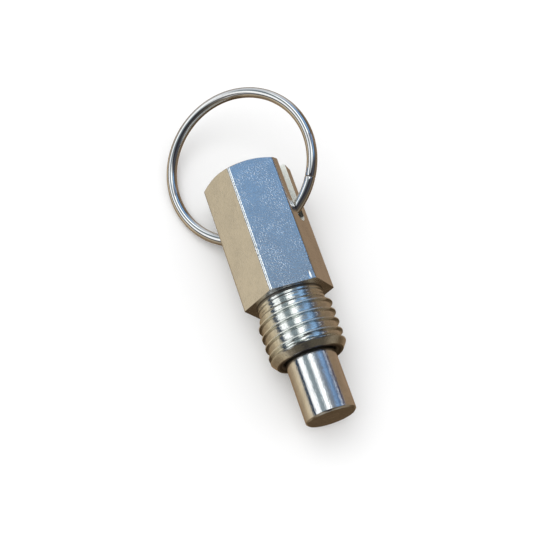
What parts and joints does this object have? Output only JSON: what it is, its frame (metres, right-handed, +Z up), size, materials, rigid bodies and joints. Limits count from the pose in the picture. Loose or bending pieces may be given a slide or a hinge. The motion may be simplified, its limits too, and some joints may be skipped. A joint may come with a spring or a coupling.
{
  "type": "spring-loaded pin",
  "caption": "Spring-loaded locking pin with a slotted hexagon body, a threaded nose, a sprung plunger and a wire pull ring that draws the pin back.",
  "frame": {"origin": "on the plunger's axis, midway along the thread", "axes": "+X along the plunger's axis towards the pin's tip, +Z up with one hexagon flat down, +Y to the side where the ring leaves the slot higher"},
  "size_m": [0.0892, 0.0362, 0.0222],
  "materials": {
    "plated_steel": "bright zinc plate over drawn and turned steel",
    "pin_steel": "ground and bright plated",
    "spring_steel": "drawn spring wire",
    "ring_wire": "bright plated wire"
  },
  "bodies": {
    "body": {"body": "plated_steel", "spring": "spring_steel"},
    "plunger": {"plunger": "pin_steel"},
    "pull_ring": {"pull_ring": "ring_wire"}
  },
  "joints": [
    {"name": "plunger_slide", "type": "slide", "parent": "body", "child": "plunger", "axis": [-1, 0, 0], "range_m": [0, 0.018], "stiffness_N_per_m": 2100, "springref_m": -0.0078, "deforming": ["spring"]},
    {"name": "ring_swing", "type": "hinge", "parent": "plunger", "child": "pull_ring", "pos_m": [-0.02751, 0, 0], "axis": [0, 0.866, 0.5], "range_deg": [-24, 15]}
  ]
}
